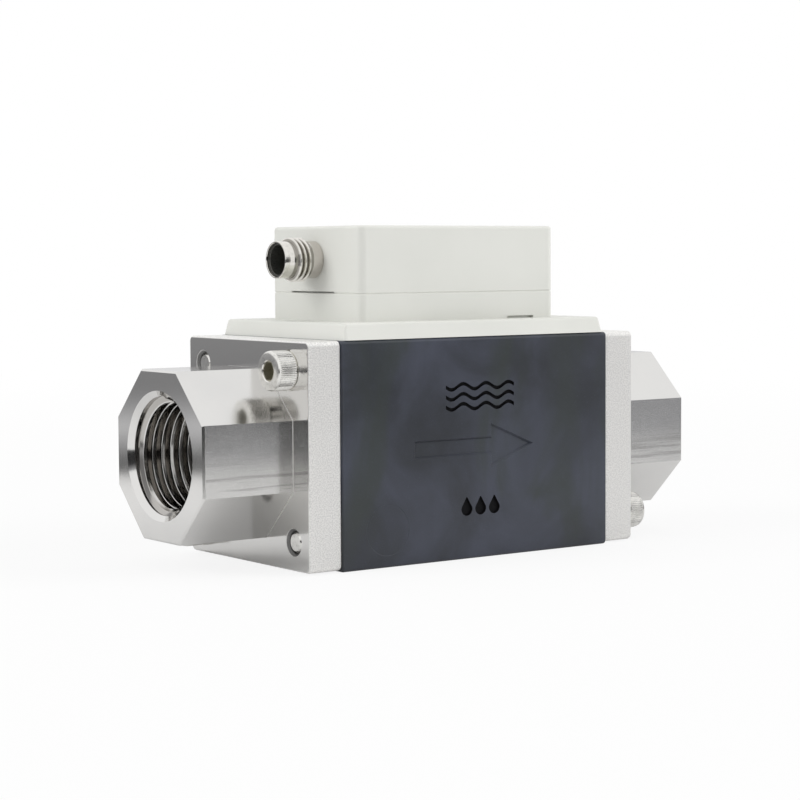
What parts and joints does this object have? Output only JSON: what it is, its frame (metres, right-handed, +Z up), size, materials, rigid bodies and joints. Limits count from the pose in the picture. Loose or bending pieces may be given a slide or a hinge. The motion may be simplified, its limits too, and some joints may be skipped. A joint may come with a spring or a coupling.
{
  "type": "vortex flow meter",
  "caption": "In-line vortex flow meter: dark moulded body between two stainless octagon pipe ports, grey electronics housing and round threaded connector on top.",
  "frame": {"origin": "under the middle of the flow body, on the surface the meter stands on", "axes": "+X along the flow from inlet to outlet, -Y the front with the flow arrow, +Z up"},
  "size_m": [0.11, 0.0406, 0.0603],
  "materials": {
    "stainless_casting": "milled and bead-blasted stainless steel",
    "dark_body_plastic": "satin dark grey moulded engineering plastic",
    "probe_plastic": "fine moulded engineering plastic",
    "seal_rubber": "matt black rubber",
    "gilt_contact": "gilt contact metal",
    "steel_plate": "rolled stainless sheet",
    "screw_steel": "bright stainless fasteners",
    "housing_plastic": "warm light grey moulded plastic, fine satin",
    "board_laminate": "green lacquered glass laminate",
    "chip_plastic": "black moulded component plastic",
    "can_metal": "drawn aluminium can",
    "wire_sleeve": "soft wire insulation",
    "plated_brass": "nickel-plated turned brass"
  },
  "bodies": {
    "root": {"amplifier_chip": "chip_plastic", "bar_seal": "seal_rubber", "base_gasket": "seal_rubber", "board_screws": "screw_steel", "cap_screws": "screw_steel", "capacitors": "can_metal", "circuit_board": "board_laminate", "clamp_plate": "steel_plate", "clamp_screws": "screw_steel", "connector_insert": "chip_plastic", "connector_nut": "plated_brass", "connector_shell": "plated_brass", "connector_washer": "seal_rubber", "contact_pins": "gilt_contact", "cover_seal": "seal_rubber", "flow_body": "dark_body_plastic", "housing_screws": "screw_steel", "inlet_fitting": "stainless_casting", "inlet_seal": "seal_rubber", "lower_housing": "housing_plastic", "outlet_fitting": "stainless_casting", "outlet_seal": "seal_rubber", "probe_pins": "gilt_contact", "probe_seal": "seal_rubber", "processor_chip": "chip_plastic", "sensor_probe": "probe_plastic", "signal_wires": "wire_sleeve", "spring_washers": "screw_steel", "upper_cover": "housing_plastic", "vortex_bar": "probe_plastic", "wire_block": "chip_plastic"}
  },
  "joints": []
}
